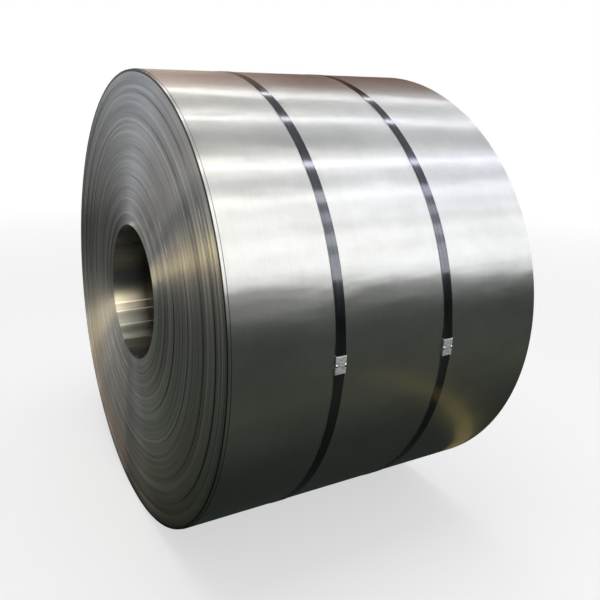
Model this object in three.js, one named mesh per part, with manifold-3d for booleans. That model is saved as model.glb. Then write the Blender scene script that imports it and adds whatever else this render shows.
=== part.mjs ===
// A coil of cold-rolled steel strip, held by two steel straps with crimped seals.
// It lies on its side with its bore level. Millimetres, +Z up.
// The bore runs along X, and the origin is on the floor under the middle of the coil.

import * as THREE from "three";
import { mergeVertices } from "three/addons/utils/BufferGeometryUtils.js";
import Module from "manifold-3d";

// ---- Driving dimensions ----

// The strip and how it is wound.
const BORE_DIAMETER = 508;
const STRIP_THICKNESS = 2;
const STRIP_WIDTH = 1138;
const TURNS = 289;
const HEAD_END_ANGLE = 204.375;

// The turns at the ends lie in groups that were set in or out as they were wound.
const TURN_GROUPS = 15;
const TELESCOPE = 3;
const LAND_GROUP = 10;
const GOLDEN_RATIO = 0.618034;

// The last wrap sits back from the near end.
const LAST_WRAP_INSET = 11;

// The straps, with their places as parts of the strip's width from the near end.
const STRAP_WIDTH = 35;
const STRAP_THICKNESS = 1;
const STRAP_NEAR_PLACE = 0.311;
const STRAP_FAR_PLACE = 0.667;

// The seals. Their angles are from the top, towards the front.
const SEAL_LENGTH = 54;
const SEAL_THICKNESS = 1;
const SEAL_CORNER = 0.9;
const SEAL_LEG_GAP = 5;
const SEAL_NEAR_ANGLE = 92.75;
const SEAL_FAR_ANGLE = 93.55;

// The notches that lock a seal on its strap, one pair in each seal.
const NOTCH_DEPTH = 6;
const NOTCH_MOUTH = 9;
const NOTCH_ROOT = 5;
const NOTCH_PLACE = 0.54;
const TAB_LENGTH = 3;
const TAB_LIFT_ANGLE = 32;

// Round surfaces have this many flats, and one of them is underneath.
const FLATS = 96;

// The gap between two pieces that touch.
const CLEARANCE = 0.3;

// ---- Sizes that follow from them ----

const STEP_ANGLE = (2 * Math.PI) / FLATS;
const BORE_RADIUS = BORE_DIAMETER / 2;
const OUTER_RADIUS = BORE_RADIUS + TURNS * STRIP_THICKNESS;
const UNDER_WRAP_RADIUS = OUTER_RADIUS - STRIP_THICKNESS;
const STRAP_INNER_RADIUS = OUTER_RADIUS + CLEARANCE;
const STRAP_OUTER_RADIUS = STRAP_INNER_RADIUS + STRAP_THICKNESS;

// Height of the axis, with the lowest flats of the straps on the floor.
const AXIS_HEIGHT = STRAP_OUTER_RADIUS * Math.cos(STEP_ANGLE / 2);

// Heights inside a seal, measured outwards from the last wrap.
const LEG_BOTTOM = CLEARANCE;
const LEG_TOP = LEG_BOTTOM + SEAL_THICKNESS;
const LOWER_LAYER = LEG_TOP + CLEARANCE;
const UPPER_LAYER = LOWER_LAYER + STRAP_THICKNESS + CLEARANCE;
const PLATE_BOTTOM = UPPER_LAYER + STRAP_THICKNESS + CLEARANCE;
const PLATE_TOP = PLATE_BOTTOM + SEAL_THICKNESS;

// The strap is flat through the seal, and its two ends stop just inside the mouths.
const FLAT_HALF = SEAL_LENGTH / 2 + 2;
const LAP_HALF = SEAL_LENGTH / 2 - 2;

// ---- Solids ----

const wasm = await Module();
wasm.setup();

function toSolid(geometry) {
  const bare = geometry.index ? geometry.toNonIndexed() : geometry.clone();
  bare.deleteAttribute("normal");
  bare.deleteAttribute("uv");
  const merged = mergeVertices(bare, 1e-3);
  const mesh = new wasm.Mesh({
    numProp: 3,
    vertProperties: new Float32Array(merged.attributes.position.array),
    triVerts: new Uint32Array(merged.index.array),
  });
  return new wasm.Manifold(mesh);
}

function toGeometry(solid) {
  const mesh = solid.getMesh();
  const geometry = new THREE.BufferGeometry();
  geometry.setAttribute("position", new THREE.BufferAttribute(mesh.vertProperties, 3));
  geometry.setIndex(new THREE.BufferAttribute(mesh.triVerts, 1));
  const flat = geometry.toNonIndexed();
  flat.computeVertexNormals();
  return flat;
}

// ---- Places round the axis ----

// A point across the axis, at an angle from the top towards the front.
function polar(angle, radius) {
  return new THREE.Vector2(-radius * Math.sin(angle), radius * Math.cos(angle));
}

// A point near a seal: a run along the strap, and a height over the last wrap.
function bySeal(sealAngle, run, height) {
  const out = polar(sealAngle, OUTER_RADIUS + height);
  const along = polar(sealAngle + Math.PI / 2, run);
  return out.add(along);
}

function cornerAngle(index) {
  return (index + 0.5) * STEP_ANGLE;
}

// An outline across the axis, drawn out along it.
function drawnAlongX(outline, fromX, toX) {
  const shape = new THREE.Shape(outline);
  const depth = toX - fromX;
  const geometry = new THREE.ExtrudeGeometry(shape, { depth, bevelEnabled: false });
  const axes = new THREE.Matrix4().makeBasis(
    new THREE.Vector3(0, 1, 0),
    new THREE.Vector3(0, 0, 1),
    new THREE.Vector3(1, 0, 0)
  );
  geometry.applyMatrix4(axes);
  geometry.translate(fromX, 0, 0);
  return geometry;
}

// ---- The turn groups on the ends ----

// Every turn has the same width, so a group set in at one end stands out at the other.
// The golden ratio spreads the shifts unevenly, and the land group stands out furthest at the near end.
const groups = [];
for (let i = 0; i < TURN_GROUPS; i += 1) {
  const firstTurn = Math.round((TURNS * i) / TURN_GROUPS);
  const nextTurn = Math.round((TURNS * (i + 1)) / TURN_GROUPS);
  groups.push({
    inner: BORE_RADIUS + firstTurn * STRIP_THICKNESS,
    outer: Math.min(BORE_RADIUS + nextTurn * STRIP_THICKNESS, UNDER_WRAP_RADIUS),
    shift: TELESCOPE * THREE.MathUtils.euclideanModulo(GOLDEN_RATIO * (i - LAND_GROUP), 1),
  });
}
const largestShift = Math.max(...groups.map((group) => group.shift));
const COIL_WIDTH = STRIP_WIDTH + largestShift;
const NEAR_END = -COIL_WIDTH / 2;

// ---- The coil ----

function coilGeometry() {
  const near = [];
  const far = [];
  for (const group of groups) {
    const nearX = NEAR_END + group.shift;
    const farX = nearX + STRIP_WIDTH;
    near.push(new THREE.Vector2(group.inner, nearX));
    near.push(new THREE.Vector2(group.outer, nearX));
    far.push(new THREE.Vector2(group.inner, farX));
    far.push(new THREE.Vector2(group.outer, farX));
  }
  near[0].x = 0;
  far[0].x = 0;
  const wrapNear = NEAR_END + LAST_WRAP_INSET;
  const wrapFar = wrapNear + STRIP_WIDTH;
  const profile = [
    ...near,
    new THREE.Vector2(UNDER_WRAP_RADIUS, wrapNear),
    new THREE.Vector2(OUTER_RADIUS, wrapNear),
    new THREE.Vector2(OUTER_RADIUS, wrapFar),
    new THREE.Vector2(UNDER_WRAP_RADIUS, wrapFar),
    ...far.reverse(),
  ];
  const turned = new THREE.LatheGeometry(profile, FLATS, STEP_ANGLE / 2);
  turned.rotateZ(-Math.PI / 2);

  // The bore follows the strip: it opens by one thickness in a turn, and steps back at the head end.
  const head = THREE.MathUtils.degToRad(HEAD_END_ANGLE);
  const outline = [];
  for (let i = 0; i <= FLATS; i += 1) {
    const radius = BORE_RADIUS + (STRIP_THICKNESS * i) / FLATS;
    outline.push(polar(head + i * STEP_ANGLE, radius));
  }
  const past = LAST_WRAP_INSET + TELESCOPE;
  const bore = drawnAlongX(outline, NEAR_END - past, -NEAR_END + past);
  return toGeometry(toSolid(turned).subtract(toSolid(bore)));
}

// ---- The straps ----

// The corner of the round part at which a taut strap from a point beside the seal lies down.
function touchIndex(sealAngle, point, side) {
  const start = Math.round(sealAngle / STEP_ANGLE - 0.5);
  let index = start + side;
  for (;;) {
    const here = polar(cornerAngle(index), STRAP_INNER_RADIUS).sub(point);
    const next = polar(cornerAngle(index + side), STRAP_INNER_RADIUS).sub(point);
    if (here.cross(next) * side > 0) return index;
    index += side;
  }
}

// One strip, wound once round the coil, with its ends lapped in the seal.
function strapGeometry(sealAngle, middleX) {
  const leaving = bySeal(sealAngle, FLAT_HALF, LOWER_LAYER);
  const arriving = bySeal(sealAngle, -FLAT_HALF, UPPER_LAYER);
  const first = touchIndex(sealAngle, leaving, 1);
  const last = touchIndex(sealAngle, arriving, -1) + FLATS;
  const inside = [];
  const outside = [];
  inside.push(bySeal(sealAngle, -LAP_HALF, LOWER_LAYER));
  outside.push(bySeal(sealAngle, -LAP_HALF, LOWER_LAYER + STRAP_THICKNESS));
  inside.push(leaving);
  outside.push(bySeal(sealAngle, FLAT_HALF, LOWER_LAYER + STRAP_THICKNESS));
  for (let i = first; i <= last; i += 1) {
    inside.push(polar(cornerAngle(i), STRAP_INNER_RADIUS));
    outside.push(polar(cornerAngle(i), STRAP_OUTER_RADIUS));
  }
  inside.push(arriving);
  outside.push(bySeal(sealAngle, -FLAT_HALF, UPPER_LAYER + STRAP_THICKNESS));
  inside.push(bySeal(sealAngle, LAP_HALF, UPPER_LAYER));
  outside.push(bySeal(sealAngle, LAP_HALF, UPPER_LAYER + STRAP_THICKNESS));
  const outline = [...inside, ...outside.reverse()];
  const half = STRAP_WIDTH / 2;
  return drawnAlongX(outline, middleX - half, middleX + half);
}

// ---- The seals ----

// A sleeve folded round both layers of the strap, built on X across, Y along and Z out.
function sealGeometry() {
  const innerHalf = STRAP_WIDTH / 2 + CLEARANCE;
  const outerHalf = innerHalf + SEAL_THICKNESS;
  const legEnd = SEAL_LEG_GAP / 2;
  const corner = SEAL_CORNER;
  const section = new THREE.Shape();
  section.moveTo(legEnd, LEG_BOTTOM);
  section.lineTo(outerHalf - corner, LEG_BOTTOM);
  section.absarc(outerHalf - corner, LEG_BOTTOM + corner, corner, -Math.PI / 2, 0, false);
  section.lineTo(outerHalf, PLATE_TOP - corner);
  section.absarc(outerHalf - corner, PLATE_TOP - corner, corner, 0, Math.PI / 2, false);
  section.lineTo(-outerHalf + corner, PLATE_TOP);
  section.absarc(-outerHalf + corner, PLATE_TOP - corner, corner, Math.PI / 2, Math.PI, false);
  section.lineTo(-outerHalf, LEG_BOTTOM + corner);
  section.absarc(-outerHalf + corner, LEG_BOTTOM + corner, corner, Math.PI, 1.5 * Math.PI, false);
  section.lineTo(-legEnd, LEG_BOTTOM);
  section.lineTo(-legEnd, LEG_TOP);
  section.lineTo(-innerHalf, LEG_TOP);
  section.lineTo(-innerHalf, PLATE_BOTTOM);
  section.lineTo(innerHalf, PLATE_BOTTOM);
  section.lineTo(innerHalf, LEG_TOP);
  section.lineTo(legEnd, LEG_TOP);
  section.closePath();
  const options = { depth: SEAL_LENGTH, bevelEnabled: false, curveSegments: 3 };
  const sleeve = new THREE.ExtrudeGeometry(section, options);
  sleeve.translate(0, 0, -SEAL_LENGTH / 2);
  sleeve.rotateX(Math.PI / 2);

  let solid = toSolid(sleeve);
  const notchY = SEAL_LENGTH * (0.5 - NOTCH_PLACE);
  for (const side of [-1, 1]) {
    solid = solid.subtract(toSolid(notchCutter(side, notchY, outerHalf)));
  }
  for (const side of [-1, 1]) {
    for (const end of [-1, 1]) {
      solid = solid.add(toSolid(notchTab(side, end, notchY, outerHalf)));
    }
  }
  return toGeometry(solid);
}

// The cut is widest at the seal's edge.
function notchCutter(side, middleY, outerHalf) {
  const mouthX = side * (outerHalf + 1);
  const rootX = side * (outerHalf - NOTCH_DEPTH);
  const outline = [
    new THREE.Vector2(mouthX, middleY - NOTCH_MOUTH / 2),
    new THREE.Vector2(mouthX, middleY + NOTCH_MOUTH / 2),
    new THREE.Vector2(rootX, middleY + NOTCH_ROOT / 2),
    new THREE.Vector2(rootX, middleY - NOTCH_ROOT / 2),
  ];
  const depth = PLATE_TOP - LEG_BOTTOM + 2;
  const cutter = new THREE.ExtrudeGeometry(new THREE.Shape(outline), { depth, bevelEnabled: false });
  cutter.translate(0, 0, LEG_BOTTOM - 1);
  return cutter;
}

// The metal turned up at each end of a notch.
function notchTab(side, end, middleY, outerHalf) {
  const lift = THREE.MathUtils.degToRad(TAB_LIFT_ANGLE);
  const run = TAB_LENGTH * Math.cos(lift);
  const rise = TAB_LENGTH * Math.sin(lift);
  const edge = NOTCH_ROOT / 2;
  const hold = (NOTCH_MOUTH - NOTCH_ROOT) / 2 + 0.5;
  const outline = [
    new THREE.Vector2(edge + hold, PLATE_BOTTOM),
    new THREE.Vector2(edge + hold, PLATE_TOP),
    new THREE.Vector2(edge + hold - run, PLATE_TOP + rise),
    new THREE.Vector2(edge + hold - run, PLATE_BOTTOM + rise),
  ];
  const depth = NOTCH_DEPTH - SEAL_CORNER - 0.2;
  const tab = new THREE.ExtrudeGeometry(new THREE.Shape(outline), { depth, bevelEnabled: false });
  const axes = new THREE.Matrix4().makeBasis(
    new THREE.Vector3(0, 1, 0),
    new THREE.Vector3(0, 0, 1),
    new THREE.Vector3(1, 0, 0)
  );
  tab.applyMatrix4(axes);
  if (end < 0) tab.rotateZ(Math.PI).translate(depth, 0, 0);
  const innerX = side > 0 ? outerHalf - NOTCH_DEPTH + 0.1 : -outerHalf + SEAL_CORNER + 0.1;
  tab.translate(innerX, middleY, 0);
  return tab;
}

// ---- The parts ----

const stripSteel = new THREE.MeshStandardMaterial({ color: 0xa8a8a2, roughness: 0.34, metalness: 1 });
const strapSteel = new THREE.MeshStandardMaterial({ color: 0x17191f, roughness: 0.32, metalness: 0.7 });
const sealSteel = new THREE.MeshStandardMaterial({ color: 0xc2c6c8, roughness: 0.38, metalness: 1 });

const coilOfSteel = new THREE.Group();
coilOfSteel.position.z = AXIS_HEIGHT;

const coil = new THREE.Mesh(coilGeometry(), stripSteel);
coil.name = "coil";
coilOfSteel.add(coil);

const bindings = [
  { place: STRAP_NEAR_PLACE, angle: SEAL_NEAR_ANGLE, end: "near" },
  { place: STRAP_FAR_PLACE, angle: SEAL_FAR_ANGLE, end: "far" },
];
for (const binding of bindings) {
  const angle = THREE.MathUtils.degToRad(binding.angle);
  const middleX = NEAR_END + binding.place * COIL_WIDTH;

  const strap = new THREE.Mesh(strapGeometry(angle, middleX), strapSteel);
  strap.name = "strap_" + binding.end;
  coilOfSteel.add(strap);

  // The seal stands out along its angle, with its length along the strap.
  const seal = new THREE.Mesh(sealGeometry(), sealSteel);
  seal.name = "seal_" + binding.end;
  seal.position.set(middleX, ...polar(angle, OUTER_RADIUS).toArray());
  seal.rotation.x = angle;
  coilOfSteel.add(seal);
}

const part = new THREE.Group();
part.add(coilOfSteel);

export default part;
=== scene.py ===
"""A coil of steel strip with two straps, built round the frame. Metres, +Z up, bore along X."""

import math
from contextlib import contextmanager
from functools import partialmethod

import bmesh
import bpy
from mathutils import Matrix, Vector


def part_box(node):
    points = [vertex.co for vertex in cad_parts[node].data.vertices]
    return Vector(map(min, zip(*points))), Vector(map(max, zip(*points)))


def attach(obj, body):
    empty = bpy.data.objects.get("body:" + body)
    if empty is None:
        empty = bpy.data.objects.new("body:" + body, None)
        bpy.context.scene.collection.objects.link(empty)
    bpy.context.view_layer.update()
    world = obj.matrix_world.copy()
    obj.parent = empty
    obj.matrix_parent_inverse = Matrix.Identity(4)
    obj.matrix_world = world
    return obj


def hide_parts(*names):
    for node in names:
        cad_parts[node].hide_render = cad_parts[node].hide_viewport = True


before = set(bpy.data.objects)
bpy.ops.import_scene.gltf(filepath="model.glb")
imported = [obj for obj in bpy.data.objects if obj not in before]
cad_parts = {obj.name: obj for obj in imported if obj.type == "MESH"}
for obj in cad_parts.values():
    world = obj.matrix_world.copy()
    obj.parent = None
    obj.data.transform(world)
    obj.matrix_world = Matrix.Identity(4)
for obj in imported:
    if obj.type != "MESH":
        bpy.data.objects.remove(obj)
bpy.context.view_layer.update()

bl_info = {
    "name": "Steel Coil",
    "version": (1, 0, 0),
    "blender": (4, 5, 0),
    "location": "View3D > Sidebar > Steel Coil",
    "description": "Builds a strapped coil of steel strip with its finishes and a plain studio",
    "category": "Add Mesh",
}

MM = 0.001
TO_DEGREES = 180 / math.pi
WELD_DISTANCE = 0.00001
COIL_LOW, COIL_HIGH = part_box("coil")
AXIS_HEIGHT = (COIL_LOW.z + COIL_HIGH.z) / 2
COIL_RADIUS = (COIL_HIGH.z - COIL_LOW.z) / 2
NEAR_PLANE = COIL_LOW.x
# Where each strap has its seal, from the top towards the front.
SEAL_ANGLES = {"strap_near": math.radians(92.75), "strap_far": math.radians(93.55)}
SEAL_NODES = ("seal_near", "seal_far")


# ---- Numbers and nodes ----


class Number:
    """A number in a node tree. Arithmetic on it adds Math nodes."""

    def __init__(self, source):
        self.source = source
        self.tree = source.id_data

    def math(self, operation, *terms):
        node = self.tree.nodes.new("ShaderNodeMath")
        node.operation = operation
        for place, term in enumerate((self, *terms)):
            fill(node.inputs[place], term)
        return Number(node.outputs[0])

    __add__ = partialmethod(math, "ADD")
    __sub__ = partialmethod(math, "SUBTRACT")
    __mul__ = partialmethod(math, "MULTIPLY")
    __truediv__ = partialmethod(math, "DIVIDE")
    unsigned = partialmethod(math, "ABSOLUTE")
    floor = partialmethod(math, "FLOOR")
    root = partialmethod(math, "SQRT")
    least = partialmethod(math, "MINIMUM")
    most = partialmethod(math, "MAXIMUM")
    above = partialmethod(math, "GREATER_THAN")
    below = partialmethod(math, "LESS_THAN")
    wrapped = partialmethod(math, "FLOORED_MODULO")

    def flipped(self):
        """1 for 0 and 0 for 1."""
        return self * -1.0 + 1.0

    def degrees_from(self, other):
        """The angle whose sine goes with this number and whose cosine goes with the other."""
        return self.math("ARCTAN2", other) * TO_DEGREES


def fill(socket, value):
    """Gives an input a link or a constant. A colour of three parts is opaque."""
    if isinstance(value, Number):
        value = value.source
    if isinstance(value, bpy.types.NodeSocket):
        socket.id_data.links.new(value, socket)
    elif socket.type == "RGBA" and len(value) == 3:
        socket.default_value = (*value, 1.0)
    else:
        socket.default_value = value


def fill_all(node, inputs):
    """Gives each listed input of a node its link or constant."""
    for key, value in inputs.items():
        fill(node.inputs[key], value)


def add(tree, kind, inputs=None, **settings):
    """Adds a node with its settings and inputs."""
    node = tree.nodes.new(kind)
    for key, value in settings.items():
        setattr(node, key, value)
    fill_all(node, inputs or {})
    return node


def vector(tree, x, y, z):
    """Three numbers as one vector."""
    return add(tree, "ShaderNodeCombineXYZ", {0: x, 1: y, 2: z}).outputs[0]


def split(source):
    """A vector as three numbers."""
    parts = add(source.id_data, "ShaderNodeSeparateXYZ", {0: source})
    return [Number(socket) for socket in parts.outputs]


def far_from(*offsets):
    """The length of a vector with these parts."""
    total = offsets[0] * offsets[0]
    for offset in offsets[1:]:
        total = total + offset * offset
    return total.root()


def noise(place, detail=2.0, roughness=0.5):
    """Smooth noise from about 0 to 1 at a place given in its own scale."""
    inputs = {"Vector": place, "Scale": 1.0, "Detail": detail, "Roughness": roughness}
    return Number(add(place.id_data, "ShaderNodeTexNoise", inputs).outputs[0])


def pattern(place, scales, **shape):
    """Noise over three numbers, each with a scale of its own."""
    scaled = (part * scale for part, scale in zip(place, scales, strict=True))
    return noise(vector(place[0].tree, *scaled), **shape)


def spread(value, low, high, to_low=0.0, to_high=1.0):
    """A number moved from one range to another, and kept in it."""
    inputs = {0: value, 1: low, 2: high, 3: to_low, 4: to_high}
    moved = add(value.tree, "ShaderNodeMapRange", inputs)
    return Number(moved.outputs["Result"])


def blend(share, first, second, mode="MIX"):
    """Two colours mixed."""
    inputs = {0: share, 6: first, 7: second}
    mix = add(first.id_data, "ShaderNodeMix", inputs, data_type="RGBA", blend_type=mode)
    return mix.outputs[2]


def ramp(value, stops):
    """A colour that follows a number through stops of (place, colour)."""
    node = add(value.tree, "ShaderNodeValToRGB", {"Fac": value})
    band = node.color_ramp
    while len(band.elements) < len(stops):
        band.elements.new(0.5)
    for element, (place, colour) in zip(band.elements, stops, strict=True):
        element.position = place
        element.color = (*colour, 1.0)
    return node.outputs["Color"]


# ---- Finishes ----


def new_material(name, kind="ShaderNodeBsdfPrincipled"):
    """A material with one shader and its output, and nothing else."""
    material = bpy.data.materials.new(name)
    material.use_nodes = True
    tree = material.node_tree
    tree.nodes.clear()
    shader = tree.nodes.new(kind)
    output = tree.nodes.new("ShaderNodeOutputMaterial")
    tree.links.new(shader.outputs[0], output.inputs["Surface"])
    return material, tree, shader


def metal_finish(describe, *settings):
    """A metal named after the function that gives its shader's inputs."""
    material, tree, shader = new_material(describe.__name__)
    fill_all(shader, {"Metallic": 1.0} | describe(tree, *settings))
    return material


def mixed_surface(share, first, second):
    """Puts a mix of two shaders on the surface."""
    tree = first.id_data
    mix = add(tree, "ShaderNodeMixShader", {0: share, 1: first.outputs[0], 2: second.outputs[0]})
    output = next(node for node in tree.nodes if node.type == "OUTPUT_MATERIAL")
    tree.links.new(mix.outputs[0], output.inputs["Surface"])


def object_place(tree):
    """Object coordinates as three numbers, with Z measured from the axis."""
    x, y, z = split(tree.nodes.new("ShaderNodeTexCoord").outputs["Object"])
    return x, y, z - AXIS_HEIGHT


def bump(height, distance, strength=1.0, normal=None):
    """A normal bent by a height, over an earlier normal if there is one."""
    inputs = {"Height": height, "Distance": distance, "Strength": strength}
    if normal is not None:
        inputs["Normal"] = normal
    return add(height.tree, "ShaderNodeBump", inputs).outputs[0]


def along_profile(tree):
    """The direction across the rolling marks, from the piece's own map."""
    return add(tree, "ShaderNodeTangent", direction_type="UV_MAP", uv_map="profile").outputs[0]


# Small dents in the last wrap: place from the axis, and size.
DENTS = ((0.458, -0.827, 0.090, 0.011), (0.478, -0.828, 0.082, 0.007))
DENT_DEPTH = 0.0003


def rolled_face(tree, look):
    """Cold-rolled strip: fine marks along the strip, soft clouds, and a film of oil."""
    place = x, y, z = object_place(tree)
    grain = pattern(place, (900.0, 5.0, 5.0), detail=3.0)
    streaks = pattern(place, (60.0, 0.9, 0.9), detail=4.0, roughness=0.6)
    clouds = pattern(place, (2.6, 5.0, 5.0), detail=5.0)
    mottle = pattern(place, (16.0, 24.0, 24.0), detail=3.0, roughness=0.6)
    tone = streaks * 0.09 + clouds * 0.54 + mottle * 0.18 + grain * 0.19
    stops = [(0.3, look.strip_dark), (0.5, look.strip_middle), (0.7, look.strip_light)]
    low, high = look.face_roughness - 0.01, look.face_roughness + 0.02
    rough = spread(clouds * 0.8 + streaks * 0.2, 0.3, 0.7, low, high)

    waves = pattern(place, (2.2, 8.0, 8.0), roughness=0.4)
    ripples = pattern(place, (9.0, 22.0, 22.0))
    normal = bump(waves, 0.0031)
    normal = bump(ripples, 0.0004, 1.0, normal)
    for dent_x, dent_y, dent_z, size in DENTS:
        away = far_from(x - dent_x, y - dent_y, z - dent_z)
        hollow = spread(away, 0.0, size, 1.0, 0.0)
        normal = bump(hollow * hollow * -1.0, DENT_DEPTH, 1.0, normal)
    # The oil follows the waves but not the fine marks.
    oil = {"Coat Weight": 1.0, "Coat Roughness": 0.15, "Coat IOR": 1.5, "Coat Normal": normal}
    normal = bump(streaks, 0.00004, 0.3, normal)
    normal = bump(grain, 0.00003, 0.5, normal)
    return {
        "Anisotropic": look.face_stretch,
        "Base Color": ramp(tone, stops),
        "Roughness": rough,
        "Normal": normal,
        "Tangent": along_profile(tree),
    } | oil


# Thin bright lines painted along the bore as highlights: angle from the back horizon, and half
# width, in degrees.
PAINTED_HIGHLIGHT_LINES = ((-26.6, 0.75), (-34.6, 0.7), (-48.3, 0.8))


def bore_face(tree, look, head_end):
    """The inside of the first turn, marked by the mandrel, with painted highlight lines, and
    painted shade deep inside and low down.
    """
    x, y, z = object_place(tree)
    round_place = z.math("ARCTAN2", y) * 0.25
    marks = noise(vector(tree, x * 0.8, round_place * 60.0, 0.0), roughness=0.45)
    scuffs = noise(vector(tree, x * 25.0, round_place * 90.0, 3.0), 4.0, 0.6)
    tone = marks * 0.8 + scuffs * 0.2
    base = ramp(tone, [(0.3, look.bore_dark), (0.7, look.bore_light)])

    # Painted shade: darker inside than at its two mouths, and more so low down.
    depth = x.unsigned()
    inside = spread(depth, 0.43, 0.515, 1.0, 0.0).most(spread(depth, 0.46, 0.56, 0.5, 0.0))
    inside = inside * spread(z, -0.05, -0.075, 0.85, 1.0)
    base = blend(inside, base, look.painted_shade)

    angle = z.degrees_from(y)
    patchy = spread(scuffs, 0.3, 0.7, 0.45, 1.0)
    # Painted highlight lines, fading deeper in the bore.
    for middle, half in PAINTED_HIGHLIGHT_LINES:
        line = spread((angle - middle).unsigned(), half * 0.5, half, 1.0, 0.0)
        line = line * patchy * spread(depth, 0.41, 0.53, 0.18, 1.0)
        base = blend(line, base, look.bore_painted_highlight)
    # Painted shade along the step at the strip's head end.
    head_angle = math.degrees(head_end) - 270.0
    seam = spread((angle - head_angle).unsigned(), 0.35, 0.6, 0.75, 0.0)
    base = blend(seam, base, look.painted_shade)
    # Painted shade along the bottom of the bore, below the head end.
    shaded_bottom = spread(z, -0.236, -0.229, 0.65, 0.0)
    return {
        "Anisotropic": 1.0,
        "Base Color": blend(shaded_bottom, base, look.painted_shade),
        "Roughness": spread(tone, 0.3, 0.7, 0.273, 0.288),
        "Normal": bump(marks, 0.000003, 0.4),
        "Tangent": along_profile(tree),
    }


def turn_edges(tree, look):
    """The slit edges of the turns: thin rings of light and dark, some crests lightened as painted
    highlights, and painted shade in corners and steps.
    """
    _, y, z = object_place(tree)
    radius = far_from(y, z)
    place = (radius, y, z)
    turns = pattern(place, (420.0, 1.6, 1.6))
    rings = pattern(place, (75.0, 0.9, 0.9), detail=3.0, roughness=0.6)
    broad = pattern(place, (14.0, 1.0, 1.0))
    tone = turns * 0.25 + rings * 0.6 + broad * 0.15 + spread(radius, 0.25, 0.83, 0.03, -0.02)
    stops = [(0.3, look.edge_dark), (0.5, look.edge_middle), (0.7, look.edge_light)]
    base = ramp(tone, stops)

    # Thin rust along the turns, most of it low down.
    patches = pattern(place, (30.0, 2.4, 2.4), detail=4.0, roughness=0.6)
    rusty = spread(patches, 0.5, 0.72) * spread(z, -0.1, -0.7, 0.15, 0.6)
    base = blend(rusty, base, look.rust)
    # Painted highlight: the brightest ring crests are lightened.
    painted_highlight_crests = spread(rings, 0.55, 0.64, 0.0, 0.36) * spread(turns, 0.3, 0.6, 0.3, 1.0)
    base = blend(painted_highlight_crests, base, look.edge_painted_highlight)
    film = spread(z, -0.3, -0.7, 0.0, 0.5) * spread(radius, 0.5, 0.75)
    base = blend(film * spread(rings, 0.35, 0.6, 0.3, 1.0), base, look.rust)

    # Painted shade in the corner under the last wrap, on its slit edge, and in the small steps
    # between groups of turns.
    corner = spread(radius, COIL_RADIUS - 12.5 * MM, COIL_RADIUS - 9.5 * MM)
    facing = split(tree.nodes.new("ShaderNodeNewGeometry").outputs["True Normal"])[0]
    step = spread(facing.unsigned(), 0.8, 0.4)
    low, high = look.edge_roughness - 0.03, look.edge_roughness + 0.04
    normal = bump(rings, 0.0016, 0.7)
    return {
        "Anisotropic": look.edge_stretch,
        "Base Color": blend((corner * 0.97).most(step * 0.45), base, look.painted_shade),
        "Roughness": spread(rings, 0.3, 0.7, low, high),
        "Normal": bump(turns, 0.0004, 0.6, normal),
        "Tangent": along_profile(tree),
    }


def waxed_strap(tree, look):
    """Dark blued strapping with a dull shine, smeared along its length."""
    place = object_place(tree)
    smears = pattern(place, (160.0, 7.0, 7.0), detail=4.0, roughness=0.6)
    spots = pattern(place, (300.0, 120.0, 120.0), detail=3.0)
    tone = smears * 0.65 + spots * 0.35
    normal = bump(smears, 0.0001, 0.3)
    return {
        "Base Color": ramp(tone, [(0.3, look.strap_dark), (0.7, look.strap_light)]),
        "Roughness": spread(smears, 0.3, 0.7, 0.06, 0.15),
        "Normal": bump(spots, 0.00003, 0.3, normal),
    }


def cut_edge(tree, look):
    """Bare steel where the strapping was slit."""
    nicks = pattern(object_place(tree), (900.0, 60.0, 60.0), detail=3.0)
    return {
        "Base Color": ramp(nicks, [(0.3, look.cut_dark), (0.7, look.cut_light)]),
        "Roughness": spread(nicks, 0.3, 0.7, 0.3, 0.45),
        "Normal": bump(nicks, 0.00005, 0.4),
    }


def galvanised_seal(tree, look):
    """Zinc-coated sheet, grainy from the press, with a painted highlight along its upper edge."""
    grit = pattern(object_place(tree), (230.0, 230.0, 230.0), detail=3.0, roughness=0.7)
    place = tree.nodes.new("ShaderNodeTexCoord").outputs["Object"]
    spangle = add(tree, "ShaderNodeTexVoronoi", {"Vector": place, "Scale": 210.0})
    grains = Number(spangle.outputs["Distance"])
    tone = spread(grains * 0.4 + grit * 0.7, 0.35, 0.68)
    base = ramp(tone, [(0.0, look.seal_dark), (0.8, look.seal_light)])
    _, height, _ = split(add(tree, "ShaderNodeUVMap", uv_map="profile").outputs[0])
    along = height + (grit - 0.5) * 0.06
    pressed = spread((along - 0.4).unsigned(), 0.01, 0.03, 0.5, 0.0)
    base = blend(pressed, base, look.seal_dark)
    return {
        "Metallic": 0.4,
        # A painted highlight along the upper edge.
        "Base Color": blend(spread(along, 0.91, 0.97), base, look.seal_highlight_and_burnish),
        "Roughness": spread(tone, 0.0, 1.0, 0.5, 0.28),
        "Normal": bump(grit, 0.0005, 0.7),
    }


def pressed_tab(tree, look):
    """The crimped tabs of a seal, burnished by the tool."""
    rubbed = pattern(object_place(tree), (700.0, 300.0, 300.0))
    return {
        "Base Color": ramp(rubbed, [(0.3, look.seal_light), (0.6, look.seal_highlight_and_burnish)]),
        "Roughness": spread(rubbed, 0.3, 0.7, 0.18, 0.26),
        "Normal": bump(rubbed, 0.00004, 0.5),
    }


def seal_side_shade(tree, look):
    """The folded sides of a seal, darkened as painted shade."""
    shade_mottle = pattern(object_place(tree), (400.0, 400.0, 400.0), detail=3.0)
    return {
        "Metallic": 0.3,
        "Base Color": ramp(shade_mottle, [(0.35, look.painted_shade), (0.8, look.seal_dark)]),
        "Roughness": spread(shade_mottle, 0.3, 0.7, 0.6, 0.4),
        "Normal": bump(shade_mottle, 0.0002, 0.6),
    }


# ---- Properties ----


def property_of(kind, **settings):
    """A function that makes a property from its name, description and default."""

    def make(name, description, default):
        return kind(name=name, description=description, default=default, **settings)

    return make


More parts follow.
